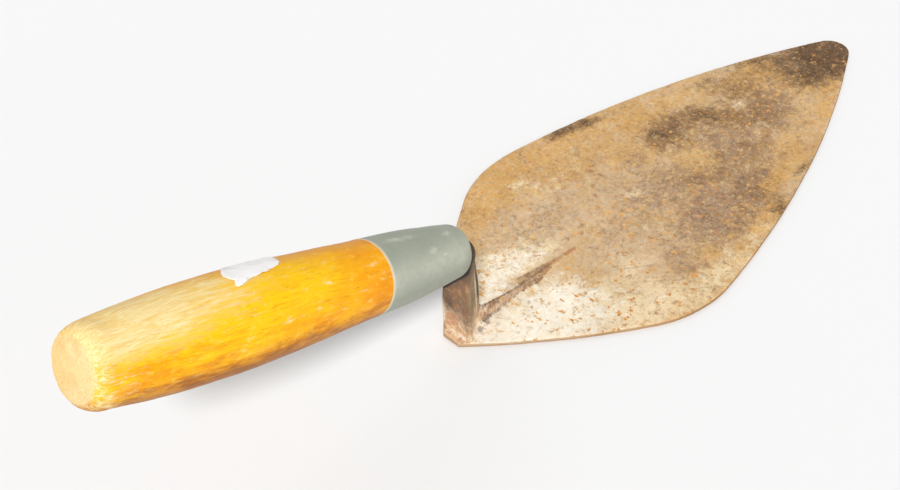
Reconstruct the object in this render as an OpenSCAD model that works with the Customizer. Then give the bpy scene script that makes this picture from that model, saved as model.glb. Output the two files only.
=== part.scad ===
// Bricklayer's trowel with a forged blade, a drawn ferrule and a turned wooden handle.
// Millimetres. +X points to the blade's tip and +Z is up. The blade lies flat on Z = 0.
// The origin is under the middle of the whole trowel's box.

/* [Blade] */
// Length of the blade from heel to tip
blade_l = 279.4; // [250:0.1:305]
// Greatest width of the blade
blade_w = 124; // [112:1:136]
// Width of the blunt heel
heel_w = 8.4; // [7:0.2:11]
// Angle between the flared edge and the centre line, at the heel
flare_angle = 44.5; // [42:0.5:47]
// Angle between the edge and the centre line where the shoulder starts
shoulder_angle = 32; // [28:0.5:35]
// Radius of the rounded shoulder
shoulder_r = 60; // [40:1:70]
// Angle between the long side and the centre line, just past the shoulder
side_angle = 7.7; // [5:0.1:9]
// Angle between the long side and the centre line where the tip's rounding starts
tip_angle = 26; // [23:1:31]
// Radius of the blunt tip
tip_r = 9; // [6:0.5:12]
// Thickness of the plate at the heel
heel_t = 2.2; // [1.8:0.1:3]
// Thickness of the plate at the tip
tip_t = 1; // [0.8:0.1:1.6]

/* [Rib] */
// Distance from the heel to the rib's point
rib_end = 73; // [60:1:85]
// Distance from the heel to the rib's widest place
rib_wide_at = 46; // [40:1:52]
// Greatest width of the rib
rib_w = 10.4; // [6:0.2:14]
// Height of the rib above the plate where it is widest
rib_h = 0.7; // [0.5:0.1:2]
// Height of the rib above the plate at the front of the neck
rib_root_h = 8; // [4:0.5:9]
// Width of the rib's narrow web, just in front of the neck
web_w = 4.2; // [3:0.2:6]

/* [Neck] */
// Height of the handle's axis above the bench, at the ferrule's front
lift = 49.2; // [46:0.1:54]
// Distance from the heel forward to the ferrule's front
setback = 2.5; // [1:0.1:5]
// Angle between the handle and the blade
handle_angle = 21; // [15:0.5:25]
// Radius of the bend at the top of the neck, on its centre line
bend_r = 8.9; // [7:0.1:10]
// How far the neck's leg leans back as it climbs
leg_lean = 2; // [0:0.5:4]
// Width of the neck's flat back
neck_w = 16.6; // [14:0.2:17]
// Depth of the neck, from its flat back to its front ridge
neck_d = 12.9; // [10:0.1:14]

/* [Tang] */
// Length of the tang behind the ferrule's front
tang_l = 92; // [70:1:105]
// Radius of the tang at its root
tang_r = 4.6; // [4:0.1:5]
// Radius of the tang at its end
tang_end_r = 2.6; // [2:0.1:3]

/* [Ferrule] */
// Length of the ferrule
ferrule_l = 47.4; // [40:0.2:54]
// Radius of the ferrule at its rear
ferrule_r = 13.9; // [13:0.1:15]
// Radius of the ferrule behind its rounded nose
nose_r = 10.4; // [9.5:0.1:11]
// Radius of the rounding at the nose
nose_round = 3.8; // [3:0.1:4.4]
// Thickness of the ferrule's wall
ferrule_t = 1.2; // [0.8:0.1:1.6]

/* [Handle] */
// Length of the wooden grip behind the ferrule
grip_l = 120.6; // [105:0.2:130]
// Radius of the grip where it meets the ferrule
grip_front_r = 14.1; // [13.2:0.1:15.2]
// Greatest radius of the grip
grip_r = 16.7; // [15.6:0.1:18]
// Radius of the grip before its rounded butt
butt_r = 14; // [13:0.1:15]
// Radius of the butt's flat end
butt_end_r = 9.8; // [8:0.1:11]
// Length of the butt's rounding
butt_round = 8; // [5:0.5:10]
// Radius of the hole bored for the tang
bore_r = 5.4; // [5.2:0.1:6]

/* [Label remnant] */
// Distance from the ferrule's front to the middle of the torn label
label_at = 101; // [90:1:110]
// Length of the torn label along the grip
label_l = 26; // [20:1:32]
// Width of the torn label round the grip
label_w = 17; // [8:1:18]
// Direction of the label round the grip, from the left side upwards
label_turn = 76; // [50:1:90]
// Thickness of the paper
label_t = 0.25; // [0.2:0.05:0.4]

/* [Hidden] */
$fn = 96;
clearance = 0.05;
arc_steps = 14;
profile_steps = 12;
buried = 0.6;
tang_proud = 0.7;

steel = [0.66, 0.55, 0.40];
ferrule_grey = [0.62, 0.66, 0.60];
varnished_wood = [0.93, 0.62, 0.12];
resin = [0.75, 0.68, 0.50];
paper = [0.95, 0.94, 0.92];

handle_l = ferrule_l + grip_l;
bore_end = tang_l + 3;
spigot_front = nose_round;
hole_r = tang_r + clearance;

// Part of the way from a to b, for t from 0 to 1
function mix(a, b, t) = a + (b - a) * t;
// The same, leaving a and reaching b gently
function ease(a, b, t) = mix(a, b, (1 - cos(180 * t)) / 2);
// Value between two stations, as a share from 0 to 1
function share(x, x0, x1) = max(0, min(1, (x - x0) / (x1 - x0)));
// A power that keeps the sign of its base
function signed_pow(v, e) = sign(v) * pow(abs(v), e);
// Points of an arc of radius r from start, as its heading turns clockwise from a0 to a1
function arc(start, r, a0, a1) = [
    for (i = [1:arc_steps]) let (a = mix(a0, a1, i / arc_steps))
        start + r * [sin(a0) - sin(a), cos(a) - cos(a0)]
];

// ---- Blade outline: flare, shoulder, long side and tip as arcs, one after the other
heel_corner = [0, heel_w / 2];
flare_r = ((blade_w - heel_w) / 2 - shoulder_r * (1 - cos(shoulder_angle)))
    / (cos(shoulder_angle) - cos(flare_angle));
flare = arc(heel_corner, flare_r, flare_angle, shoulder_angle);
shoulder = arc(flare[arc_steps - 1], shoulder_r, shoulder_angle, -side_angle);
side_start = shoulder[arc_steps - 1];
side_end = [blade_l - tip_r * (1 - sin(tip_angle)), tip_r * cos(tip_angle)];
side_chord = side_end - side_start;
side_turn = 2 * (-atan2(side_chord[1], side_chord[0]) - side_angle);
side_r = norm(side_chord) / 2 / sin(side_turn / 2);
side = arc(side_start, side_r, -side_angle, -side_angle - side_turn);
tip = [for (i = [1:arc_steps]) let (a = mix(tip_angle, 90, i / arc_steps))
    [blade_l - tip_r * (1 - sin(a)), tip_r * cos(a)]];
half_outline = concat([heel_corner], flare, shoulder, side, tip);
last_half = len(half_outline) - 1;
blade_outline = concat(
    half_outline,
    [for (i = [last_half - 1:-1:0]) [half_outline[i][0], -half_outline[i][1]]]
);
function plate_top(x) = mix(heel_t, tip_t, x / blade_l);

// ---- Handle and ferrule radii at a distance s behind the ferrule's front
function ferrule_radius(s) =
    s < nose_round
        ? nose_r - nose_round + sqrt(pow(nose_round, 2) - pow(nose_round - s, 2))
        : ferrule_r - (ferrule_r - nose_r) * pow((ferrule_l - s) / (ferrule_l - nose_round), 1.7);
grip_thick_at = ferrule_l + 0.54 * grip_l;
round_start = handle_l - butt_round;
function grip_radius(s) =
    s < grip_thick_at
        ? mix(grip_front_r, grip_r, pow(sin(90 * share(s, ferrule_l, grip_thick_at)), 1.3))
        : mix(grip_r, butt_r, pow(share(s, grip_thick_at, round_start), 2));
ferrule_outer = concat(
    [for (i = [0:profile_steps - 1]) let (s = nose_round * (1 - cos(90 * i / profile_steps)))
        [ferrule_radius(s), s]],
    [for (i = [0:profile_steps]) let (s = mix(nose_round, ferrule_l, i / profile_steps))
        [ferrule_radius(s), s]]
);
ferrule_inner = [for (i = [0:profile_steps]) let (s = mix(spigot_front, ferrule_l, i / profile_steps))
    [ferrule_radius(s) - ferrule_t, s]];
grip_outer = concat(
    [for (i = [0:2 * profile_steps]) let (s = mix(ferrule_l, round_start, i / (2 * profile_steps)))
        [grip_radius(s), s]],
    [for (i = [1:profile_steps]) let (a = 90 * i / profile_steps)
        [mix(butt_r, butt_end_r, 1 - cos(a)), round_start + butt_round * sin(a)]]
);

// ---- Place of the whole trowel: the box runs from the butt to the tip
butt_reach = max([for (p = grip_outer) p[1] * cos(handle_angle) + p[0] * sin(handle_angle)]);
mid_x = (blade_l + setback - butt_reach) / 2;

// ---- Neck: rings along a leg that climbs from the heel, and a bend back into the tang
// Headings are angles behind the vertical.
neck_top = [setback, lift];
tang_heading = 90 - handle_angle;
function heading_vector(a) = [-sin(a), cos(a)];
function bend_point(a) = neck_top
    + bend_r * [cos(a) - cos(tang_heading), sin(a) - sin(tang_heading)];
bend_start = bend_point(leg_lean);
leg_l = (bend_start[1] - buried) / cos(leg_lean);
leg_steps = 14;
bend_steps = 10;
leg_share = 0.8;
// Each station: a place in X and Z, the heading there, and the height up the neck from 0 to 1
neck_path = concat(
    [for (i = [0:leg_steps]) let (t = i / leg_steps)
        [bend_start - (1 - t) * leg_l * heading_vector(leg_lean), leg_lean, leg_share * t]],
    [for (i = [1:bend_steps]) let (t = i / bend_steps, a = mix(leg_lean, tang_heading, t))
        [bend_point(a), a, mix(leg_share, 1, t)]],
    [[neck_top + 3 * heading_vector(tang_heading), tang_heading, 1]]
);
inside_tang = 2 * tang_r - 0.4;
function neck_width(h) = h < 0.2
    ? ease(neck_w - 2, neck_w, share(h, 0, 0.2))
    : ease(neck_w, inside_tang, share(h, 0.35, 0.95));
function neck_depth(h) = h < 0.2
    ? ease(neck_d + 1.2, neck_d, share(h, 0, 0.2))
    : ease(neck_d, inside_tang, share(h, 0.3, 0.85));
// How boxy the ring is: 1 is round, lower is squarer
function neck_squareness(h) = ease(0.35, 1, share(h, 0.4, 0.95));
// How far the ring narrows to its front ridge
function neck_narrowing(h) = ease(0.8, 0, share(h, 0.4, 0.95));
ring_steps = 28;
function neck_ring(station) = [
    for (i = [0:ring_steps - 1])
        let (
            a = -360 * i / ring_steps,
            h = station[2],
            forward = signed_pow(sin(a), neck_squareness(h)),
            sideways = signed_pow(cos(a), neck_squareness(h)),
            narrowed = 1 - neck_narrowing(h) * (1 + forward) / 2,
            out = neck_depth(h) / 2 * forward
        )
        [
            station[0][0] + out * cos(station[1]),
            neck_width(h) / 2 * sideways * narrowed,
            station[0][1] + out * sin(station[1])
        ]
];

// ---- Rib: five-sided rings from inside the neck to the rib's point
rib_start = 12;
rib_web_end = 36;
rib_steps = 18;
// Height and width of the rib's blunt point
rib_end_h = 0.15;
rib_end_w = 1;
// How far the rib's lower edges lie under the plate's surface
rib_sunk = 0.3;
function rib_width(x) =
    x < rib_wide_at
        ? ease(web_w, rib_w, share(x, rib_web_end - 8, rib_wide_at))
        : mix(rib_w, rib_end_w, share(x, rib_wide_at, rib_end));
function rib_height(x) = max(
    rib_root_h * pow(1 - share(x, rib_start, rib_wide_at), 1.3),
    mix(rib_h, rib_end_h, share(x, rib_wide_at, rib_end))
);
function rib_ring(x) = [
    [x, -rib_width(x) / 2, buried],
    [x, rib_width(x) / 2, buried],
    [x, rib_width(x) / 2, plate_top(x) - rib_sunk],
    [x, 0, plate_top(x) + rib_height(x)],
    [x, -rib_width(x) / 2, plate_top(x) - rib_sunk]
];

// A closed skin over rings that all have the same number of points
module skin(rings) {
    n = len(rings[0]);
    last = len(rings) - 1;
    polyhedron(
        points = [for (ring = rings) each ring],
        faces = concat(
            [[for (i = [0:n - 1]) i]],
            [for (k = [0:last - 1], i = [0:n - 1]) let (j = (i + 1) % n)
                [k * n + i, (k + 1) * n + i, (k + 1) * n + j, k * n + j]],
            [[for (i = [n - 1:-1:0]) last * n + i]]
        ),
        convexity = 4
    );
}

// Sets the trowel's own origin
module placed() {
    translate([-mid_x, 0, 0]) children();
}

// Puts something turned about Z on the handle's axis, with Z = 0 at the ferrule's front
module on_handle_axis() {
    placed() translate([setback, 0, lift]) rotate([0, handle_angle - 90, 0]) children();
}

// A plate of even width whose top slopes down from the heel to the tip
module thickness_wedge() {
    rotate([90, 0, 0]) linear_extrude(2 * blade_w, center = true)
        polygon([[-1, 0], [-1, plate_top(-1)], [blade_l + 1, plate_top(blade_l + 1)], [blade_l + 1, 0]]);
}

module plate() {
    intersection() {
        linear_extrude(2 * heel_t) polygon(blade_outline);
        thickness_wedge();
    }
}

module tang() {
    translate([0, 0, -tang_proud]) cylinder(h = tang_proud + tang_l, r1 = tang_r, r2 = tang_end_r);
}

module blade() {
    color(steel) {
        placed() {
            plate();
            skin([for (i = [0:rib_steps]) rib_ring(mix(rib_start, rib_end, i / rib_steps))]);
            skin([for (station = neck_path) neck_ring(station)]);
        }
        on_handle_axis() tang();
    }
}

module tang_bedding() {
    color(resin) on_handle_axis() difference() {
        translate([0, 0, spigot_front]) cylinder(h = bore_end - spigot_front, r = bore_r);
        tang();
    }
}

module ferrule() {
    color(ferrule_grey) on_handle_axis() rotate_extrude() polygon(concat(
        [[hole_r, spigot_front], [hole_r, 0]],
        ferrule_outer,
        [for (i = [profile_steps:-1:0]) ferrule_inner[i]]
    ));
}

module handle() {
    color(varnished_wood) on_handle_axis() difference() {
        rotate_extrude() polygon(concat(
            [[0, spigot_front]],
            [for (p = ferrule_inner) p - [clearance, 0]],
            grip_outer,
            [[0, handle_l]]
        ));
        cylinder(h = bore_end, r = bore_r);
    }
}

// The torn scrap's outline, as shares of its length towards the butt and of its width downwards
label_outline = [
    [-0.48, -0.14], [-0.50, -0.40], [-0.35, -0.49], [-0.08, -0.42], [0.12, -0.47], [0.29, -0.35],
    [0.46, -0.02], [0.50, 0.11], [0.48, 0.23], [0.43, 0.31], [0.48, 0.44], [0.46, 0.50], [0.38, 0.47],
    [0.29, 0.42], [0.13, 0.36], [0, 0.34], [-0.17, 0.28], [-0.31, 0.22], [-0.42, 0.12]
];

module label_remnant() {
    shell = [for (i = [0:profile_steps]) let (s = label_at + label_l * (i / profile_steps - 0.5))
        [grip_radius(s), s]];
    color(paper) on_handle_axis() intersection() {
        rotate_extrude() polygon(concat(
            shell,
            [for (i = [profile_steps:-1:0]) shell[i] + [label_t, 0]]
        ));
        rotate([0, 0, 90 - label_turn]) rotate([0, 90, 0]) linear_extrude(2 * grip_r)
            polygon([for (p = label_outline) [-label_at - p[0] * label_l, p[1] * label_w]]);
    }
}

blade();
tang_bedding();
ferrule();
handle();
label_remnant();
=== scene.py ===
import math
import random

import bpy
import numpy as np
from mathutils import Matrix, Vector, noise
from mathutils.geometry import delaunay_2d_cdt


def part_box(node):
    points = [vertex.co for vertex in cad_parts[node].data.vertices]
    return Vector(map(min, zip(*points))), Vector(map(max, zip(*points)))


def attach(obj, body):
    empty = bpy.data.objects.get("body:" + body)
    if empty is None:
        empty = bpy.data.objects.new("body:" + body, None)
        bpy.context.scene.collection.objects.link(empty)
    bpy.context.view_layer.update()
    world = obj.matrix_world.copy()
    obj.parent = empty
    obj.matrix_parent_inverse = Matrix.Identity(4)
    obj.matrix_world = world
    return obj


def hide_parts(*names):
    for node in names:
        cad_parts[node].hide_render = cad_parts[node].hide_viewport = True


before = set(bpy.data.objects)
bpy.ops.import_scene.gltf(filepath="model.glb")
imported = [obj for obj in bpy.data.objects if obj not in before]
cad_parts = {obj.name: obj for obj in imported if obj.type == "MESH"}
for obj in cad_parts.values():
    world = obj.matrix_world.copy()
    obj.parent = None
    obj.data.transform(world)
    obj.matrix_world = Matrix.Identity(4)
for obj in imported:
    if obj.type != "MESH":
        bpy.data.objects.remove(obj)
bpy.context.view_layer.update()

# Sizes are in millimetres from the heel, in the middle of the blade's underside, until a mesh is made.
MM = 0.001
BLADE_L, BLADE_W, HEEL_W = 279.4, 124.0, 8.4
HEEL_T, TIP_T = 2.2, 1.0
HEEL_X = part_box("blade")[1].x - BLADE_L * MM

LIFT, SETBACK, HANDLE_ANGLE = 49.2, 2.5, 21.0
FERRULE_L, FERRULE_R, NOSE_R, NOSE_ROUND, FERRULE_T = 47.4, 13.9, 10.4, 3.8, 1.2
GRIP_L, GRIP_FRONT_R, GRIP_R, BUTT_R, BUTT_END_R, BUTT_ROUND = 120.6, 14.1, 16.7, 14.0, 9.8, 8.0
TANG_L, TANG_R, TANG_END_R, BORE_R, BORE_END = 92.0, 4.6, 2.6, 5.4, 95.0
HANDLE_L = FERRULE_L + GRIP_L
CLEARANCE = 0.05

# Local space of the handle's pieces. Z runs along its axis from the ferrule's front.
# X points to its top and Y to its left.
HANDLE_PLACE = Matrix.Translation((HEEL_X + SETBACK * MM, 0, LIFT * MM)) @ Matrix.Rotation(
    math.radians(HANDLE_ANGLE - 90), 4, "Y"
)

random.seed(7)
rng = np.random.default_rng(7)


# ---------------- small tools


def smooth(t, lo, hi):
    """0 at lo and 1 at hi, with a soft start and end."""
    t = np.clip((np.asarray(t, float) - lo) / (hi - lo), 0, 1)
    return t * t * (3 - 2 * t)


def lumps(points, size, seed):
    """Smooth noise from about -1 to 1 at each point, with features of the given size."""
    shift = Vector((seed, 2.3 * seed, -1.7 * seed))
    return np.array([noise.noise(Vector(p) / size + shift) for p in points])


def on_plane(xy):
    """2-D points at height 0."""
    return np.column_stack([xy, np.zeros(len(xy))])


def round_axis(r, angles, s):
    """Points at a radius, an angle and a distance along an axis."""
    return np.column_stack([r * np.cos(angles), r * np.sin(angles), s])


def outward(loop):
    """Directions out of an anticlockwise closed loop, one at each point."""
    along = np.roll(loop, -1, axis=0) - np.roll(loop, 1, axis=0)
    return np.column_stack([along[:, 1], -along[:, 0]]) / np.hypot(*along.T)[:, None]


def make_object(name, verts, faces, node, slot, place=None, marks=None):
    """A smooth-shaded closed mesh that rides on the trowel and stands for a CAD node.

    marks are named numbers from 0 to 1 for each vertex, which the material reads.
    """
    mesh = bpy.data.meshes.new(name)
    mesh.from_pydata([tuple(v) for v in np.asarray(verts) * MM], [], faces)
    if place is not None:
        mesh.transform(place)
    for key, values in (marks or {}).items():
        mesh.attributes.new(key, "FLOAT", "POINT").data.foreach_set("value", np.asarray(values, np.float32))
    mesh.validate()
    mesh.shade_smooth()
    piece = bpy.data.objects.new(name, mesh)
    bpy.context.scene.collection.objects.link(piece)
    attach(piece, "root")
    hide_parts(node)
    return piece


def band(lower, upper):
    """Quads between two rings of vertex numbers. Facing out when the rings run anticlockwise and climb."""
    n = len(lower)
    return [(lower[i], lower[(i + 1) % n], upper[(i + 1) % n], upper[i]) for i in range(n)]


def distance_to_loop(points, loop):
    """Distance from each point to a closed polyline."""
    a, b = loop, np.roll(loop, -1, axis=0)
    ab = b - a
    best = np.full(len(points), 1e9)
    for i in range(len(a)):
        ap = points - a[i]
        t = np.clip(ap @ ab[i] / max(ab[i] @ ab[i], 1e-12), 0, 1)
        best = np.minimum(best, np.hypot(*(ap - t[:, None] * ab[i]).T))
    return best


def inside_loop(points, loop):
    x, y = points.T
    inside = np.zeros(len(points), bool)
    for (x0, y0), (x1, y1) in zip(loop, np.roll(loop, -1, axis=0)):
        if y0 != y1:
            hit = ((y0 > y) != (y1 > y)) & (x < (x1 - x0) * (y - y0) / (y1 - y0) + x0)
            inside ^= hit
    return inside


def resample(points, spacing):
    """Points at even distances along an open polyline, its ends kept."""
    steps = np.hypot(*np.diff(points, axis=0).T)
    along = np.concatenate([[0], np.cumsum(steps)])
    at = np.linspace(0, along[-1], max(2, round(along[-1] / spacing) + 1))
    return np.column_stack([np.interp(at, along, points[:, k]) for k in range(points.shape[1])])


def fill(loops, inner_points):
    """2-D points and triangles over the inside of the first loop and outside the others."""
    points, edges = [], []
    for loop in loops:
        n0 = len(points)
        edges += [(n0 + i, n0 + (i + 1) % len(loop)) for i in range(len(loop))]
        points += [tuple(p) for p in loop]
    points += [tuple(p) for p in inner_points]
    out, _, faces, _, _, _ = delaunay_2d_cdt([Vector(p) for p in points], edges, [], 0, 1e-7)
    if len(out) != len(points):
        raise RuntimeError("the triangulation joined or added points")
    xy = np.array([tuple(p) for p in out])
    tri = np.array([tuple(f) for f in faces])
    middle = xy[tri].mean(axis=1)
    keep = inside_loop(middle, loops[0])
    for hole in loops[1:]:
        keep &= ~inside_loop(middle, hole)
    tri = tri[keep]
    a, b, c = xy[tri[:, 0]], xy[tri[:, 1]], xy[tri[:, 2]]
    turned = (b[:, 0] - a[:, 0]) * (c[:, 1] - a[:, 1]) - (b[:, 1] - a[:, 1]) * (c[:, 0] - a[:, 0]) < 0
    tri[turned] = tri[turned][:, ::-1]
    return xy, tri


def lattice(lo, hi, spacing):
    """A slightly shaken triangular lattice over a rectangle."""
    rows = np.arange(lo[1], hi[1], spacing * 0.866)
    points = []
    for k, y in enumerate(rows):
        xs = np.arange(lo[0] + (k % 2) * spacing / 2, hi[0], spacing)
        points.append(np.column_stack([xs, np.full(len(xs), y)]))
    points = np.vstack(points)
    return points + rng.uniform(-0.12, 0.12, points.shape) * spacing


# ---------------- colours (0 to 255) and stains

TAN, OCHRE, GOLD = (212, 173, 115), (216, 168, 98), (220, 152, 66)
GREY_TAN, MAUVE, BROWN = (207, 179, 145), (158, 128, 104), (140, 104, 66)
DARK, CREAM_WEAR_AND_SHEEN, PALE, RUST = (82, 58, 36), (255, 248, 231), (241, 219, 178), (204, 126, 54)

# Stains on the blade's top, in the order they lie on each other. The cream ones are worn bright steel with a
# painted sheen on it.
# Each tint has patches: x, y, half length, half width, turn, strength
STAINS = [
    (GREY_TAN, [
        (74, 16, 34, 16, 0, 0.9), (90, -22, 24, 22, 20, 0.85), (114, 8, 20, 15, 0, 0.8),
        (58, 27, 22, 10, 20, 0.9),
    ]),
    (OCHRE, [
        (132, -50, 26, 5, 4, 0.8), (74, 48, 32, 10, 24, 0.9), (124, 48, 46, 8, -9, 0.8),
        (48, 37, 13, 6, 48, 0.7), (112, 32, 26, 8, -5, 0.5), (156, 36, 22, 7, -12, 0.7),
        (176, 34, 14, 6, -10, 0.8), (168, 36, 26, 7, -14, 0.7), (84, -59, 26, 4, -4, 0.5),
        (186, -29, 22, 7, 12, 0.7), (236, -20, 24, 5, 24, 0.8), (134, 20, 16, 8, 0, 0.5),
        (228, 14, 22, 10, -15, 0.7), (238, 0, 14, 9, 0, 0.7),
    ]),
    (PALE, [
        (72, -26, 18, 9, 10, 0.6), (66, -42, 34, 13, -34, 0.9), (104, -54, 34, 8, 4, 0.8),
        (46, 14, 24, 9, -10, 1.0), (100, 30, 22, 9, 0, 0.35),
    ]),
    # Cream: worn bright steel with a painted sheen on it
    (CREAM_WEAR_AND_SHEEN, [
        (30, -17, 34, 18, -30, 1.0), (50, -28, 26, 14, -30, 0.3), (27, 6, 14, 6, 0, 0.9),
        (45, 13, 20, 8, -10, 0.75),
    ]),
    (MAUVE, [
        (134, -30, 26, 14, 5, 0.95), (158, -32, 18, 11, 10, 0.95), (158, -37, 12, 6, 10, 0.7),
        (146, -8, 38, 14, -8, 0.7), (118, -4, 18, 12, 0, 0.55), (98, -38, 12, 8, 40, 0.6),
        (96, -6, 26, 9, 8, 0.35), (70, 18, 18, 7, 16, 0.35), (136, 16, 10, 7, 0, 0.4),
        (176, -6, 20, 17, 0, 0.75), (208, -6, 17, 15, 0, 0.8),
    ]),
    (BROWN, [
        (156, -33, 14, 9, 10, 0.5), (162, 18, 14, 11, 35, 1.0), (180, 15, 15, 8, -22, 1.0),
        (193, 2, 13, 9, -60, 0.8), (168, -16, 28, 13, -10, 0.55), (208, 4, 18, 24, 0, 0.7),
        (232, 8, 20, 14, -6, 0.5), (148, -42, 18, 6, 8, 0.6), (256, 0, 24, 18, 0, 0.85),
    ]),
    (OCHRE, [
        (170, -38, 11, 5, 14, 0.9), (147, -47, 8, 3, 8, 0.6),
    ]),
    (TAN, [
        (155, -2, 10, 9, 0, 1.0), (200, -27, 20, 6, 14, 0.6), (186, 31, 16, 5, -16, 0.6),
    ]),
    (DARK, [
        (264, 2, 26, 20, 0, 1.0), (274, -3, 20, 14, 0, 1.0), (270, 4, 20, 14, 0, 1.0),
        (156, -47.5, 9, 3, 10, 0.7), (186, -40, 8, 3, 15, 0.7), (138, 51, 17, 3.5, -9, 0.75),
        (244, 17, 20, 6, -24, 0.75), (163, 22, 9, 7, 20, 0.6), (186, 13, 9, 6, -20, 0.6),
        (208, 26, 10, 4, -15, 0.5),
    ]),
    (PALE, [
        (86, 46, 4.5, 3.4, 0, 0.9), (94, 39, 3.8, 2.6, 0, 0.65), (118, 3, 3.4, 2.6, 0, 1.0),
        (204, 8, 5, 4, 0, 0.7), (198, -9, 3, 4, 0, 0.6),
    ]),
]
# Worn bright steel near the heel, with a painted sheen on it
WORN_AND_SHEEN = [(36, -14, 46, 26, -22, 1.0)]
PITTED = [(62, -35, 38, 22, -24, 1.0), (96, -14, 26, 18, 0, 0.5), (34, 14, 16, 10, 20, 0.5)]
FOOT = [(4, 0, 8, 9, 0, 1.0)]


def patches_at(xy, patches, soft=0.72):
    """How strongly a list of soft patches covers each point, their outlines shaken by noise."""
    p = on_plane(xy)
    q = xy + 4.5 * np.column_stack([lumps(p, 17, 41), lumps(p, 17, 42)])
    q = q + 1.6 * np.column_stack([lumps(p, 4.5, 43), lumps(p, 4.5, 44)])
    total = np.zeros(len(xy))
    for px, py, half_l, half_w, turn, strength in patches:
        c, s = math.cos(math.radians(turn)), math.sin(math.radians(turn))
        dx, dy = (q - (px, py)).T
        reach = np.hypot((dx * c + dy * s) / half_l, (dy * c - dx * s) / half_w)
        total = np.maximum(total, strength * smooth(1 + soft - reach, 0, 2 * soft))
    return total


# ---------------- blade outline and top surface

FLARE, SHOULDER, SIDE, TIP_TURN = 44.5, 32.0, 7.7, 26.0
SHOULDER_R, TIP_R = 60.0, 9.0


def arc(start, r, a0, a1):
    """An arc of radius r from start, whose heading turns clockwise from a0 to a1."""
    b, a = math.radians(a0), np.radians(np.linspace(a0, a1, 61)[1:])
    return np.column_stack(
        [start[0] + r * (math.sin(b) - np.sin(a)), start[1] + r * (np.cos(a) - math.cos(b))]
    )


def half_outline():
    """The blade's left edge from the heel's corner to the middle of the tip."""
    cos = lambda a: math.cos(math.radians(a))
    flare_r = ((BLADE_W - HEEL_W) / 2 - SHOULDER_R * (1 - cos(SHOULDER))) / (cos(SHOULDER) - cos(FLARE))
    corner = np.array([[0.0, HEEL_W / 2]])
    flare = arc(corner[0], flare_r, FLARE, SHOULDER)
    shoulder = arc(flare[-1], SHOULDER_R, SHOULDER, -SIDE)
    t = math.radians(TIP_TURN)
    side_end = np.array([BLADE_L - TIP_R * (1 - math.sin(t)), TIP_R * math.cos(t)])
    chord = side_end - shoulder[-1]
    turn = 2 * (-math.degrees(math.atan2(chord[1], chord[0])) - SIDE)
    side = arc(shoulder[-1], np.hypot(*chord) / 2 / math.sin(math.radians(turn) / 2), -SIDE, -SIDE - turn)
    a = np.radians(np.linspace(TIP_TURN, 90, 40)[1:])
    tip = np.column_stack([BLADE_L - TIP_R * (1 - np.sin(a)), TIP_R * np.cos(a)])
    return np.vstack([corner, flare, shoulder, side, tip])


LEFT_EDGE = half_outline()


def plate_thickness(x):
    return HEEL_T + (TIP_T - HEEL_T) * np.clip(x / BLADE_L, 0, 1)


RIB_START, RIB_END = 12.0, 74.0


def along(x, stations):
    """Value at x on a line through stations (x, value)."""
    at, value = zip(*stations)
    return np.interp(x, at, value)


def rib_lines(x):
    """The rib's crest, left edge, right edge and height: a web off the neck, then an arrowhead."""
    crest = along(x, [(12, 0), (30, -0.2), (46, -0.5), (74, -0.9)])
    left = along(
        x,
        [
            (12, 3.2), (24, 2.5), (32, 2.3), (38, 4.4), (42, 6.2), (48, 4.5), (54, 3.3), (59, 1.8), (64, 1.0),
            (74, -0.4),
        ],
    )
    right = along(
        x,
        [
            (12, -3.4), (24, -3.2), (34, -2.9), (40, -3.3), (45, -4.6), (50, -4.7), (54, -3.0), (62, -2.2),
            (70, -1.6), (74, -1.3),
        ],
    )
    height = along(
        x,
        [
            (12, 7.5), (16.5, 6.9), (23.5, 5.4), (30, 3.4), (36.4, 1.75), (42, 1.1), (47, 0.85), (58, 0.6),
            (68, 0.35), (74, 0.0),
        ],
    )
    return crest, left, right, height


def rib_shares(x, y):
    """Where each point is on the rib's left and right faces: 0 at the crest, 1 at the edge."""
    crest, left, right, _ = rib_lines(x)
    return np.clip((y - crest) / (left - crest), 0, 1), np.clip((crest - y) / (crest - right), 0, 1)


def rib_height(x, y):
    a, b = rib_shares(x, y)
    side = 1 - np.maximum(a, b)
    steep = 1.0 + 0.75 * smooth(x, 38, 24)
    flat_top = smooth(side, 0, 0.8)
    face = side**steep * (1 - smooth(x, 36, 46)) + flat_top * smooth(x, 36, 46)
    return rib_lines(x)[3] * face * (x > RIB_START - 2)


# Hammer and wear marks round the neck's foot and on the plate: x, y, radius, depth
DIMPLES = [
    (17.6, -3.6, 1.3, 0.45), (12.3, -5.4, 1.2, 0.35), (24.0, -3.4, 1.1, 0.3), (31.0, -3.7, 1.4, 0.25),
    (21.0, 5.0, 1.2, 0.2), (86.0, 45.0, 5.0, 0.18), (118.0, 3.0, 2.5, 0.2), (152.0, -2.0, 12.0, 0.2),
    (182.0, 30.0, 9.0, 0.15), (96.0, -48.0, 6.0, 0.15), (214.0, -8.0, 8.0, 0.15), (62.0, 30.0, 7.0, 0.12),
]


def top_height(xy):
    """Z of the blade's upper surface."""
    x, y = xy.T
    z = plate_thickness(x) + rib_height(x, y)
    for cx, cy, r, depth in DIMPLES:
        z -= depth * np.exp(-(((x - cx) ** 2 + (y - cy) ** 2) / r**2))
    p = on_plane(xy)
    z += 0.11 * lumps(p, 31, 1) + 0.05 * lumps(p, 9, 2) + 0.025 * lumps(p, 3.3, 3)
    return z


def under_height(xy):
    """Z of the underside: flat on the bench, with shallow hollows."""
    p = on_plane(xy)
    hollow = np.clip(0.10 * lumps(p, 27, 4) + 0.04 * lumps(p, 8, 5), 0, None)
    return hollow * smooth(distance_to_loop(xy, edge_loop), 0.5, 6)


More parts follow.
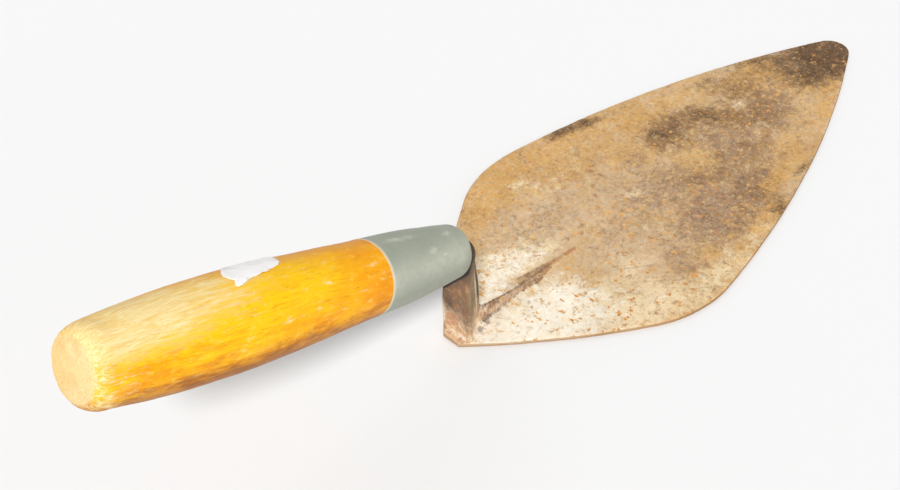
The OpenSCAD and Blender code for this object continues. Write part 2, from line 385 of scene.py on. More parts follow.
def edge_points():
    """The blade's outline, anticlockwise from the heel's left corner, with the small losses of long use."""
    left = resample(LEFT_EDGE, 1.25)
    right = left[::-1][1:] * [1, -1]
    heel = np.column_stack([np.zeros(5), np.linspace(-HEEL_W / 2, HEEL_W / 2, 7)[1:-1]])
    loop = np.vstack([left, right, heel])[::-1]
    out = outward(loop)
    p = on_plane(loop)
    loss = 0.28 * np.clip(lumps(p, 11, 6), 0, 1) + 0.3 * np.clip(lumps(p, 3.1, 7) - 0.25, 0, 1)
    loss *= smooth(loop[:, 0], 0, 20)
    return loop - out * (loss[:, None] + 0.02), out


edge_loop, edge_out = edge_points()

# ---------------- neck

NECK_HALF_W, NECK_D, NECK_TOP_R, BEND_R, LEG_LEAN = 7.7, 12.9, 4.45, 8.9, 2.0
RING_N = 96
TANG_HEADING = 90 - HANDLE_ANGLE


def heading(a):
    return np.array([-math.sin(math.radians(a)), math.cos(math.radians(a))])


def bend_point(a):
    side = lambda t: np.array([math.cos(math.radians(t)), math.sin(math.radians(t))])
    return np.array([SETBACK, LIFT]) + BEND_R * (side(a) - side(TANG_HEADING))


BEND_START = bend_point(LEG_LEAN)


def catmull(points, n):
    """n points at even distances on a closed smooth curve through the given ones."""
    p = np.asarray(points, float)
    t = np.linspace(0, 1, 13)[:-1, None]
    parts = []
    for i in range(len(p)):
        a, b, c, d = p[i - 1], p[i], p[(i + 1) % len(p)], p[(i + 2) % len(p)]
        parts.append(
            0.5 * (2 * b + (c - a) * t + (2 * a - 5 * b + 4 * c - d) * t**2 + (3 * b - a - 3 * c + d) * t**3)
        )
    curve = np.vstack(parts + [parts[0][:1]])
    return resample(curve, np.hypot(*np.diff(curve, axis=0).T).sum() / n)[:n]


def neck_section(h):
    """The neck's cross-section at a share h of its height, as forward and sideways distances.

    It is a triangle with a broad, slightly hollow back and a blunt front ridge, turning round at the top.
    """
    w = NECK_HALF_W - (NECK_HALF_W - 4.5) * smooth(h, 0.35, 0.95)
    d = NECK_D - (NECK_D - 9.0) * smooth(h, 0.3, 0.9)
    right = [
        (d, 0), (d - 0.3, 0.75), (d - 1.7, 1.5), (0.56 * d, 0.41 * w), (0.32 * d, 0.65 * w), (2.5, w - 1.2),
        (1.25, w - 0.25), (0.4, w - 0.25), (0.05, w - 1.4), (0.3, 0.6 * w), (0.7, 0.3 * w),
    ]
    points = right + [(0.8, 0)] + [(f, -y) for f, y in right[:0:-1]]
    shape = catmull(points, RING_N)
    shape[:, 0] -= d / 2
    angles = 2 * math.pi * np.arange(RING_N) / RING_N
    circle = NECK_TOP_R * np.column_stack([np.cos(angles), np.sin(angles)])
    return shape + (circle - shape) * smooth(h, 0.5, 0.98)


def neck_ring(centre, lean, h):
    f, y = neck_section(h).T
    a = math.radians(lean)
    return np.column_stack([centre[0] + f * math.cos(a), y, centre[1] + f * math.sin(a)])


FOOT_TOP = 12.5  # height of the first full ring
FOOT_ROWS = 12
ROUGH_RINGS = 45  # rings outside the ferrule, whose surface is uneven
LEG_SHARE = 0.8  # share of the neck's height where its bend starts


def leg_ring(z):
    """The neck's ring where its axis is at height z on the leg."""
    back = (BEND_START[1] - z) / math.cos(math.radians(LEG_LEAN))
    centre = BEND_START - back * heading(LEG_LEAN)
    ring = neck_ring(centre, LEG_LEAN, LEG_SHARE * z / BEND_START[1])
    ring[:, 2] = z + (ring[:, 2] - centre[1])
    return ring


def foot_rows():
    """Rows from the neck's foot on the plate up to its first full ring, spreading out in a soft fillet."""
    ring = leg_ring(FOOT_TOP)
    out = outward(ring[:, :2])
    forward = smooth(ring[:, 0], 4.2, 9.0)
    middle = smooth(1 - np.abs(ring[:, 1]) / NECK_HALF_W, 0.1, 0.5)
    spread = 0.5 + 2.9 * forward + 1.1 * (1 - forward) * middle
    inset = resample(LEFT_EDGE, 0.5)

    def held(xy):
        """Keeps a point on the flat of the plate, clear of its rounded edge."""
        limit = np.interp(xy[:, 0], inset[:, 0], inset[:, 1]) - 1.65
        return np.column_stack([np.maximum(xy[:, 0], 1.35), np.clip(xy[:, 1], -limit, limit)])

    steps = 25
    straight = np.array([leg_ring(z)[:, :2] for z in np.linspace(0, FOOT_TOP, steps + 1)])

    def wall(z):
        t = np.clip(z / FOOT_TOP, 0, 1) * steps
        k = np.minimum(t.astype(int), steps - 1)
        i = np.arange(RING_N)
        return straight[k, i] + (straight[k + 1, i] - straight[k, i]) * (t - k)[:, None]

    foot_z = np.full(RING_N, HEEL_T)
    for _ in range(6):
        foot_xy = held(wall(foot_z) + out * spread[:, None])
        foot_z = top_height(foot_xy)
    result = []
    for k in range(FOOT_ROWS):
        t = (k / FOOT_ROWS) ** 1.35
        z = foot_z + (ring[:, 2] - foot_z) * t
        u = np.clip((z - foot_z) / np.maximum(spread * 1.25, 0.3), 0, 1)
        flare = spread * (1 - np.sqrt(np.clip(1 - (1 - u) ** 2, 0, 1)))
        xy = wall(z) + out * flare[:, None]
        pull = smooth(z, foot_z.min(), 7.5)[:, None]
        xy = held(xy) * (1 - pull) + xy * pull if k else foot_xy
        result.append(np.column_stack([xy, z]))
    return result, ring


def build_blade():
    foot, first_ring = foot_rows()
    hole = foot[0][:, :2]

    round_r = 0.42 * plate_thickness(edge_loop[:, 0])
    inner_loop = edge_loop - edge_out * round_r[:, None]
    half_w = BLADE_W / 2
    coarse = lattice((0, -half_w), (BLADE_L, half_w), 1.75)
    # Round the neck's foot and the rib the mesh is finer
    x0, x1, y1 = 1, 78, 11
    fine = lattice((x0, -y1), (x1, y1), 0.62)
    in_fine = (coarse[:, 0] > x0) & (coarse[:, 0] < x1) & (np.abs(coarse[:, 1]) < y1)
    fill_points = []
    for points, gap in ((coarse[~in_fine], 0.75), (fine, 0.33)):
        ok = inside_loop(points, inner_loop) & ~inside_loop(points, hole)
        points = points[ok]
        ok = (distance_to_loop(points, inner_loop) > gap) & (distance_to_loop(points, hole) > 0.3)
        fill_points.append(points[ok])
    top_xy, top_tri = fill([inner_loop, hole], np.vstack(fill_points))
    top = np.column_stack([top_xy, top_height(top_xy)])
    n_edge = len(inner_loop)

    under_points = lattice((0, -half_w), (BLADE_L, half_w), 2.2)
    under_points = under_points[inside_loop(under_points, inner_loop)]
    under_points = under_points[distance_to_loop(under_points, inner_loop) > 0.9]
    under_xy, under_tri = fill([inner_loop], under_points)
    under = np.column_stack([under_xy, under_height(under_xy)])

    verts, faces = [top], [tuple(t) for t in top_tri]
    count = len(top)
    neck_marks = [np.zeros((count, 4))]

    def add(rows_, neck=0.0):
        """Adds a row. neck is how much of it is neck rather than plate."""
        nonlocal count
        first = count
        verts.append(rows_)
        count += len(rows_)
        mark = np.zeros((len(rows_), 4))
        if neck:
            from_ridge = np.abs((np.arange(RING_N) + RING_N / 2) % RING_N - RING_N / 2) / (RING_N / 2)
            mark[:, 0] = neck
            mark[:, 1] = smooth(from_ridge, 0.60, 0.72)
            # Column 2: a thin band behind the front ridge, which gets a painted highlight. Column 3: the
            # blunt front face, which gets painted shade.
            mark[:, 2] = np.exp(-(((from_ridge - 0.18) / 0.022) ** 2))
            mark[:, 3] = smooth(from_ridge, 0.165, 0.135)
        neck_marks.append(mark)
        return list(range(first, count))

    under_ids = add(under)
    faces += [tuple(under_ids[i] for i in t[::-1]) for t in under_tri]

    # The rounded edge, from the underside up to the top
    lower = under_ids[:n_edge]
    z0, z1 = under[:n_edge, 2], top[:n_edge, 2]
    for k in range(1, 6):
        a = math.radians(-90 + 180 * k / 6)
        xy = edge_loop - edge_out * (round_r * (1 - math.cos(a)))[:, None]
        upper = add(np.column_stack([xy, (z0 + z1) / 2 + (z1 - z0) / 2 * math.sin(a)]))
        faces += band(lower, upper)
        lower = upper
    faces += band(lower, list(range(n_edge)))

    # The neck, from the foot's loop in the plate up, and the tang that it ends in
    lower = list(range(n_edge, n_edge + RING_N))
    rings = foot[1:] + [first_ring]
    rings += [leg_ring(z) for z in np.linspace(FOOT_TOP, BEND_START[1], 16)[1:]]
    for t in np.linspace(0, 1, 15)[1:]:
        a = LEG_LEAN + (TANG_HEADING - LEG_LEAN) * t
        rings.append(neck_ring(bend_point(a), a, LEG_SHARE + (1 - LEG_SHARE) * t))
    axis = heading(TANG_HEADING)
    for s in np.linspace(0, TANG_L, 24)[1:]:
        r = TANG_R + (TANG_END_R - TANG_R) * s / TANG_L
        ring = neck_ring(np.array([SETBACK, LIFT]) + axis * s, TANG_HEADING, 1.0)
        middle = ring.mean(axis=0)
        rings.append(middle + (ring - middle) * (r / NECK_TOP_R if s > 4 else 1.0))
    for k, ring in enumerate(rings):
        if k < ROUGH_RINGS:
            middle = ring.mean(axis=0)
            out = ring - middle
            out /= np.linalg.norm(out, axis=1)[:, None]
            ring = ring + out * (0.10 * lumps(ring, 6, 8) + 0.05 * lumps(ring, 2.2, 9))[:, None]
        upper = add(ring, neck=max(0.02, min(1.0, (k + 1) / 9)))
        faces += band(lower, upper)
        lower = upper
    faces.append(tuple(lower))

    all_verts = np.vstack(verts)
    x, y, z = all_verts.T
    neck, back, ridge, front = np.vstack(neck_marks).T
    left, right = rib_shares(x, y)
    above = z > 0.6 * plate_thickness(x)
    on_top = above & (neck < 0.5) & (x > 13) & (x < RIB_END + 1)
    # A painted shadow: a thin dark line just beside the rib's crest, on its +Y side
    crest_shadow_line = np.exp(-(((y - rib_lines(x)[0] - 0.25) / 0.55) ** 2))
    xy = all_verts[:, :2].copy()
    marks = {
        "neck": neck,
        "neck_back": back,
        "neck_ridge_highlight": ridge,
        "neck_front": front,
        "rib_left": on_top * (1 - left) * (left > 0) * smooth(x, 38, 46),
        "rib_right": on_top * (1 - right) * (right > 0),
        "worn": above * patches_at(xy, WORN_AND_SHEEN),
        "pitted": above * patches_at(xy, PITTED),
        "foot": above * (neck == 0) * patches_at(xy, FOOT, 0.5),
        "rib_crest_shadow": on_top * crest_shadow_line * smooth(RIB_END - x, 0, 20) * smooth(x, 14, 22),
    }
    for k, (_, patches) in enumerate(STAINS):
        marks[f"stain_{k}"] = above * patches_at(xy, patches)
    all_verts[:, 0] += HEEL_X / MM
    return make_object("trowel_blade", all_verts, faces, node="blade", slot="forged_steel", marks=marks)


blade = build_blade()

# ---------------- ferrule and handle


def ferrule_radius(s):
    s = np.asarray(s, float)
    nose = NOSE_R - NOSE_ROUND + np.sqrt(np.clip(NOSE_ROUND**2 - (NOSE_ROUND - s) ** 2, 0, None))
    body = FERRULE_R - (FERRULE_R - NOSE_R) * np.clip((FERRULE_L - s) / (FERRULE_L - NOSE_ROUND), 0, 1) ** 1.7
    return np.where(s < NOSE_ROUND, nose, body)


def ferrule_line(stations, inset=0.0):
    """Profile points on the ferrule's outer surface, or on one set in from it."""
    return [(float(ferrule_radius(s)) - inset, float(s)) for s in stations]


THICK_AT = FERRULE_L + 0.54 * GRIP_L
ROUND_START = HANDLE_L - BUTT_ROUND


def grip_radius(s):
    s = np.asarray(s, float)
    front = np.clip((s - FERRULE_L) / (THICK_AT - FERRULE_L), 0, 1)
    back = np.clip((s - THICK_AT) / (ROUND_START - THICK_AT), 0, 1)
    grow = GRIP_FRONT_R + (GRIP_R - GRIP_FRONT_R) * np.sin(np.pi / 2 * front) ** 1.3
    return np.where(s < THICK_AT, grow, GRIP_R + (BUTT_R - GRIP_R) * back**2)


def revolve(profile, segments, shape):
    """A closed body round local Z. shape(r, s, angles) gives each point's own radius and height."""
    angles = 2 * math.pi * np.arange(segments) / segments
    verts, faces, rings = [], [], []
    count = 0
    for r, s in profile:
        if r < 1e-6:
            verts.append(np.array([[0, 0, s]]))
            rings.append([count])
            count += 1
            continue
        rr, ss = shape(np.full(segments, r), np.full(segments, s), angles)
        verts.append(round_axis(rr, angles, ss))
        rings.append(list(range(count, count + segments)))
        count += segments
    pairs = list(zip(rings, rings[1:]))
    if len(rings[0]) > 1:
        pairs.append((rings[-1], rings[0]))
    for a, b in pairs:
        if len(a) == 1 and len(b) == 1:
            continue
        if len(a) == 1:
            faces += [(a[0], b[(i + 1) % len(b)], b[i]) for i in range(len(b))]
        elif len(b) == 1:
            faces += [(a[i], a[(i + 1) % len(a)], b[0]) for i in range(len(a))]
        else:
            faces += band(a, b)
    return np.vstack(verts), faces


def phi_angle(phi):
    """The mesh angle, from the top towards the left, of phi degrees from the left side upwards."""
    return math.radians(90 - phi)


def dent(angles, s, r, marks):
    """How far marks (s, phi, length, width, depth) push the surface in."""
    push = np.zeros(len(angles))
    for at, phi, length, width, depth in marks:
        turn = (angles - phi_angle(phi) + math.pi) % (2 * math.pi) - math.pi
        push += depth * np.exp(-(((s - at) / length) ** 2) - ((turn * r) / width) ** 2)
    return push


# Dents: distance along the ferrule, phi, half length, half width, depth
FERRULE_DENTS = [
    (24, 128, 1.6, 2.2, 0.18), (33, 92, 4.0, 1.4, 0.14), (12, 160, 3.5, 3.0, 0.12), (38, 185, 2.4, 5.0, 0.14),
    (17, 40, 3.0, 4.0, 0.2), (30, 330, 5.0, 3.0, 0.22), (9, 250, 2.5, 3.0, 0.18), (41, 275, 2.0, 4.0, 0.2),
]


RIM_R, RIM_GAP = 0.45, 0.02  # the rounded rim beside the grip, and how far it stays off the grip


def build_ferrule():
    hole = TANG_R + CLEARANCE
    profile = [(hole, 0.0)]
    nose = NOSE_ROUND * (1 - np.cos(np.radians(np.linspace(0, 90, 15))))
    flat = float(ferrule_radius(0.0))
    profile += [(r, 0.0) for r in np.linspace(hole, flat, 5)[1:-1]]
    profile += ferrule_line(nose)
    profile += ferrule_line(np.linspace(NOSE_ROUND, FERRULE_L - RIM_R, 40)[1:])
    for a in np.radians((30, 60, 90)):
        s = FERRULE_L - RIM_R + (RIM_R - RIM_GAP) * math.sin(a)
        profile.append((FERRULE_R - RIM_R * (1 - math.cos(a)), s))
    profile += ferrule_line(np.linspace(FERRULE_L - RIM_GAP, NOSE_ROUND, 14), FERRULE_T)
    profile += [(hole, NOSE_ROUND)]

    def shape(r, s, angles):
        outer = r > ferrule_radius(s) - 0.5
        p = round_axis(r, angles, s)
        rough = 0.05 * lumps(p, 12, 11) + 0.03 * lumps(p, 4, 12)
        push = dent(angles, s, r, FERRULE_DENTS)
        return np.where(outer, r + np.minimum(rough, 0.04) - push, r), s

    return make_object(
        "ferrule_sleeve", *revolve(profile, 144, shape), place=HANDLE_PLACE, node="ferrule",
        slot="ferrule_metal",
    )


# Dents: distance along the handle, phi, half length, half width, depth
HANDLE_DENTS = [
    (92, 110, 1.6, 1.3, 0.3), (125, 176, 1.4, 5.0, 0.28), (104, 150, 5.0, 1.0, 0.25),
    (70, 152, 6.0, 1.2, 0.3), (60, 185, 3.0, 2.0, 0.3), (136, 195, 4.0, 2.5, 0.4), (82, 205, 6.0, 2.0, 0.4),
    (150, 120, 8.0, 1.5, 0.3), (158, 80, 3.0, 3.0, 0.45), (145, 60, 9.0, 2.0, 0.35), (75, 20, 5.0, 3.0, 0.35),
    (112, 350, 7.0, 2.0, 0.4), (135, 300, 3.0, 4.0, 0.45), (90, 270, 9.0, 2.5, 0.35),
    (66, 300, 3.0, 3.0, 0.3), (155, 250, 4.0, 4.0, 0.6), (162, 165, 2.5, 4.0, 0.6), (163, 30, 2.5, 3.0, 0.6),
    (161, 330, 3.0, 5.0, 0.5), (52, 250, 2.0, 5.0, 0.3),
]


def build_handle():
    spigot = ferrule_line(np.linspace(NOSE_ROUND, FERRULE_L, 12), FERRULE_T + CLEARANCE)
    profile = [(BORE_R, NOSE_ROUND)] + spigot
    profile += [(GRIP_FRONT_R - 0.55, FERRULE_L), (GRIP_FRONT_R - 0.22, FERRULE_L + 0.12)]
    body = np.linspace(FERRULE_L + 0.6, ROUND_START, 104)
    profile += [(float(grip_radius(s)), float(s)) for s in body]
    for a in np.radians(np.linspace(0, 90, 15)[1:]):
        r = BUTT_R - (BUTT_R - BUTT_END_R) * (1 - math.cos(a))
        profile.append((float(r), ROUND_START + BUTT_ROUND * math.sin(a)))
    profile += [(BUTT_END_R * t, HANDLE_L) for t in (0.93, 0.85, 0.75, 0.62, 0.48, 0.34, 0.2, 0.08)]
    profile += [(0.0, HANDLE_L - 0.25), (0.0, BORE_END), (BORE_R * 0.5, BORE_END), (BORE_R, BORE_END)]
    profile += [(BORE_R, s) for s in (70.0, 40.0)]

    def shape(r, s, angles):
        if s[0] < FERRULE_L + 0.3 or (s[0] <= BORE_END and r[0] < 8):
            return r, s
        p = round_axis(r, angles, s / 9)
        grain = 0.07 * lumps(p, 1.5, 21) + 0.05 * lumps(p, 0.8, 22)
        q = round_axis(r, angles, s)
        rough = 0.12 * lumps(q, 14, 23) + 0.05 * lumps(q, 4.5, 24)
        worn = smooth(s, ROUND_START - 10, HANDLE_L)
        rough += worn * (0.28 * lumps(q, 7, 25) + 0.12 * lumps(q, 2.4, 26))
        off_label = (angles - phi_angle(73)) / 0.7
        near_label = smooth(s, 84, 92) * smooth(118 - s, 0, 8) * np.exp(-(off_label**2))
        push = grain + rough - 0.15 - 0.1 * worn
        push = push * (1 - 0.8 * near_label) - dent(angles, s, r, HANDLE_DENTS) * (1 - near_label)
        if r[0] < BUTT_END_R * 0.95:
            end = 0.16 * lumps(q, 2.2, 27) + 0.1 * lumps(q, 5, 28) - 0.3 * (1 - (r / BUTT_END_R) ** 2) - 0.12
            return r, s + np.minimum(end, 0)
        tilt = smooth(s, ROUND_START, HANDLE_L)
        return r + push * (1 - 0.5 * tilt), s + np.minimum(push, 0) * tilt

    return make_object(
        "wooden_grip", *revolve(profile, 192, shape), place=HANDLE_PLACE, node="handle", slot="varnished_wood"
    )


ferrule = build_ferrule()
grip = build_handle()

# ---------------- torn label

LABEL_AT, LABEL_L, LABEL_W, LABEL_TURN = 101.0, 26.0, 17.0, 76.0
# Corners: share of its length towards the butt, share of its width downwards
LABEL_OUTLINE = [
    (-0.48, -0.14), (-0.50, -0.40), (-0.35, -0.49), (-0.08, -0.42), (0.12, -0.47), (0.29, -0.35),
    (0.46, -0.02), (0.50, 0.11), (0.48, 0.23), (0.43, 0.31), (0.48, 0.44), (0.46, 0.50), (0.38, 0.47),
    (0.29, 0.42), (0.13, 0.36), (0, 0.34), (-0.17, 0.28), (-0.31, 0.22), (-0.42, 0.12),
]


def build_label():
    corners = np.array([(LABEL_AT + a * LABEL_L, b * LABEL_W) for a, b in LABEL_OUTLINE])
    loop = resample(np.vstack([corners, corners[:1]]), 0.45)[:-1]
    p = on_plane(loop)
    middle = loop.mean(axis=0)
    ragged = 0.35 * lumps(p, 2.6, 31) + 0.22 * lumps(p, 0.8, 32)
    loop = loop + (loop - middle) / np.hypot(*(loop - middle).T)[:, None] * (ragged - 0.2)[:, None]
    area = (loop[:, 0] * np.roll(loop[:, 1], -1) - np.roll(loop[:, 0], -1) * loop[:, 1]).sum()
    if area < 0:
        loop = loop[::-1]
    points = lattice(loop.min(axis=0), loop.max(axis=0), 0.8)
    points = points[inside_loop(points, loop)]
    away = distance_to_loop(points, loop)
    points, away = points[away > 0.3], away[away > 0.3]
    xy, tri = fill([loop], points)
    from_edge = np.concatenate([np.zeros(len(loop)), away])
    p = on_plane(xy)
    lift = 0.30 * smooth(1.6 - from_edge, 0, 1.6) * smooth(lumps(p, 4.5, 33), 0.0, 0.5)
    lift += 0.05 * lumps(p, 3, 34)
    sheets = []
    for height in (0.02, 0.17):
        s, across = xy.T
        # across is measured round the grip, downwards from the label's own direction
        r = grip_radius(s) + height + np.clip(lift, 0, None) * (1 if height > 0.1 else 0.9)
        phi = np.radians(LABEL_TURN) + across / grip_radius(s)
        sheets.append(np.column_stack([r * np.sin(phi), r * np.cos(phi), s]))
    n, m = len(xy), len(loop)
    faces = [tuple(int(i) for i in t) for t in tri[:, ::-1]]
    faces += [tuple(int(i) + n for i in t) for t in tri]
    faces += [(i, (i + 1) % m, n + (i + 1) % m, n + i) for i in range(m)]
    return make_object(
        "label_scrap", np.vstack(sheets), faces, place=HANDLE_PLACE, node="label_remnant", slot="paper"
    )


label = build_label()

# ---------------- materials


def linear(colour):
    parts = [c / 255 for c in colour]
    return tuple(c / 12.92 if c <= 0.04045 else ((c + 0.055) / 1.055) ** 2.4 for c in parts) + (1.0,)


class Graph:
    """A material whose nodes are written as expressions. Sizes are in millimetres."""

    def __init__(self, name, space=None):
        self.material = bpy.data.materials.new(name)
        self.material.use_nodes = True
        self.tree = self.material.node_tree
        self.shader = self.tree.nodes["Principled BSDF"]
        self.place = self.node("ShaderNodeTexCoord").outputs["Object"]
        if space is not None:
            away = self.vector("SUBTRACT", self.place, tuple(space.translation))
            axes = space.to_3x3().transposed()
            self.place = self.join(*(self.vector("DOT_PRODUCT", away, tuple(axes[i])) for i in range(3)))

    def node(self, kind, **settings):
        made = self.tree.nodes.new(kind)
        for key, value in settings.items():
            setattr(made, key, value)
        return made

    def put(self, socket, value):
        if isinstance(value, bpy.types.NodeSocket):
            self.tree.links.new(value, socket)
        else:
            socket.default_value = value

    def math(self, operation, a, b=0.0, clamp=False):
        made = self.node("ShaderNodeMath", operation=operation, use_clamp=clamp)
        self.put(made.inputs[0], a)
        self.put(made.inputs[1], b)
        return made.outputs[0]

    def chain(self, operation, terms):
        total = terms[0]
        for term in terms[1:]:
            total = self.math(operation, total, term)
        return total

    def add(self, *terms):
        return self.chain("ADD", terms)

    def times(self, *terms):
        return self.chain("MULTIPLY", terms)

    def flip(self, a):
        return self.math("SUBTRACT", 1.0, a, clamp=True)

    def most(self, *terms):
        return self.chain("MAXIMUM", terms)

    def ramp(self, value, lo, hi):
        """0 at lo and 1 at hi, with a soft start and end."""
        made = self.node("ShaderNodeMapRange", interpolation_type="SMOOTHSTEP")
        for name, v in (("Value", value), ("From Min", lo), ("From Max", hi)):
            self.put(made.inputs[name], v)
        return made.outputs[0]

    def vector(self, operation, a, b=None):
        made = self.node("ShaderNodeVectorMath", operation=operation)
        self.put(made.inputs[0], a)
        if b is not None:
            self.put(made.inputs[3] if operation == "SCALE" else made.inputs[1], b)
        return made.outputs["Value"] if operation in ("LENGTH", "DOT_PRODUCT") else made.outputs[0]

    def split(self, a):
        made = self.node("ShaderNodeSeparateXYZ")
        self.put(made.inputs[0], a)
        return made.outputs[0], made.outputs[1], made.outputs[2]

    def join(self, x, y, z):
        made = self.node("ShaderNodeCombineXYZ")
        for socket, value in zip(made.inputs, (x, y, z)):
            self.put(socket, value)
        return made.outputs[0]

    def sway(self, texture, amount):
        """A texture turned into offsets to both sides of 0."""
        return self.times(amount, self.math("SUBTRACT", texture, 0.5))

    def texture(self, kind, size, place, shift, **settings):
        made = self.node(kind, **settings)
        place = self.place if place is None else place
        self.put(made.inputs["Vector"], self.vector("ADD", place, (shift, shift * 0.7, shift * 1.3)))
        self.put(made.inputs["Scale"], 1 / (size * MM))
        return made

    def noise(self, size, detail, rough, place=None, shift=0.0, colour=False):
        made = self.texture("ShaderNodeTexNoise", size, place, shift, noise_dimensions="3D")
        self.put(made.inputs["Detail"], detail)
        self.put(made.inputs["Roughness"], rough)
        return made.outputs["Color" if colour else "Fac"]

    def warp(self, size, amount, shift, place=None, detail=2):
        """The place, shaken by noise."""
        place = self.place if place is None else place
        shake = self.noise(size, detail, 0.55, place=place, shift=shift, colour=True)
        shake = self.vector("SUBTRACT", shake, (0.5,) * 3)
        return self.vector("ADD", place, self.vector("SCALE", shake, amount * MM * 2))

    def specks(self, size, detail, rough, shift, lo, hi, place=None):
        """Noise sharpened into specks, between the values lo and hi."""
        return self.ramp(self.noise(size, detail, rough, place=place, shift=shift), lo, hi)

    def spots(self, size, place, shift):
        """Distance from the nearest of some scattered points, and a number of its own for each."""
        made = self.texture("ShaderNodeTexVoronoi", size, place, shift, feature="F1")
        number, _, _ = self.split(made.outputs["Color"])
        return made.outputs["Distance"], number

    def blob(self, place, centre, radii, turn, soft):
        """A soft ellipse, 1 inside and 0 outside."""
        made = self.node("ShaderNodeMapping", vector_type="TEXTURE")
        self.put(made.inputs["Vector"], place)
        made.inputs["Location"].default_value = centre
        made.inputs["Rotation"].default_value = (0, 0, math.radians(turn))
        made.inputs["Scale"].default_value = radii
        return self.ramp(self.vector("LENGTH", made.outputs[0]), 1 + soft, 1 - soft)

    def mark(self, name):
        return self.node("ShaderNodeAttribute", attribute_name=name).outputs["Fac"]

    def broken(self, mask, texture, amount=3.0, lo=0.14, hi=0.94):
        """A mask whose soft border is broken up by a texture."""
        return self.ramp(self.add(mask, self.sway(texture, amount)), lo, hi)

    def mix(self, a, b, t):
        """A colour between a and b, which are colours made by nodes or given from 0 to 255."""
        made = self.node("ShaderNodeMix", data_type="RGBA")
        self.put(made.inputs["Factor"], t)
        for socket, tint in ((made.inputs[6], a), (made.inputs[7], b)):
            self.put(socket, linear(tint) if isinstance(tint, tuple) else tint)
        return made.outputs[2]

    def coat(self, colour, *coats):
        """The colour under some coats. Each is a tint, then factors whose product is how much it covers."""
        for tint, *cover in coats:
            colour = self.mix(colour, tint, self.times(*cover))
        return colour

    def bump(self, height, distance, strength):
        made = self.node("ShaderNodeBump")
        self.put(made.inputs["Height"], height)
        made.inputs["Distance"].default_value = distance * MM
        made.inputs["Strength"].default_value = strength
        return made.outputs[0]

    def finish(self, piece, colour, rough, normal, metallic=None):
        self.put(self.shader.inputs["Base Color"], colour)
        self.put(self.shader.inputs["Roughness"], rough)
        self.put(self.shader.inputs["Normal"], normal)
        if metallic is not None:
            self.put(self.shader.inputs["Metallic"], metallic)
        piece.data.materials.clear()
        piece.data.materials.append(self.material)


# Bent scratches: centre x, y, radius, then the patch each shows in: x, y, half size
SCRATCHES = [
    (60, -95, 52, 98, -50, 13),
    (140, 20, 82, 84, -42, 9),
    (20, -120, 112, 80, -28, 12),
]


def at_blade(x, y, z=0.0):
    return (HEEL_X + x * MM, y * MM, z * MM)


